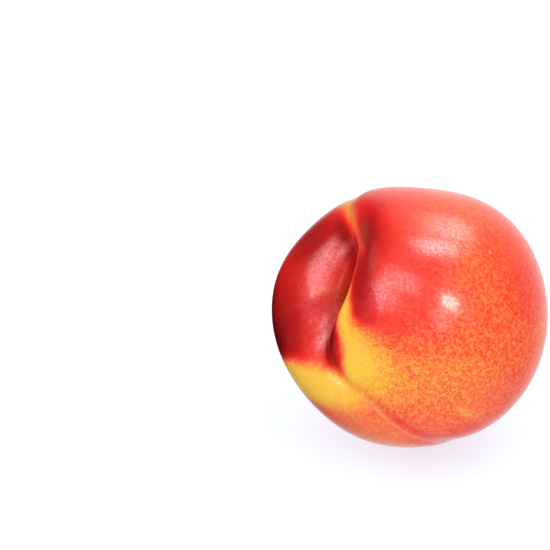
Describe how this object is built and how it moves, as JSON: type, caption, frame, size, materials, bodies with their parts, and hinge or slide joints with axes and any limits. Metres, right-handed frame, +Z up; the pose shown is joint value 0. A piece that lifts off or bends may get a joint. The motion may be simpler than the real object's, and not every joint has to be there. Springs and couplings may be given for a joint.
{
  "type": "nectarine",
  "caption": "Whole nectarine lying on its side, a smooth round stone fruit with a deep swerving stem cleft, a seam line and a small blossom tip.",
  "frame": {"origin": "middle of the small flat spot the fruit lies on", "axes": "+Z up from the table, +X to the fruit's right cheek side, -Y to the front, where the stem cleft opens to the front left"},
  "size_m": [0.0716, 0.0696, 0.0683],
  "materials": {
    "skin": "smooth waxy skin, red over yellow, glossy"
  },
  "bodies": {
    "root": {"nectarine": "skin"}
  },
  "joints": []
}
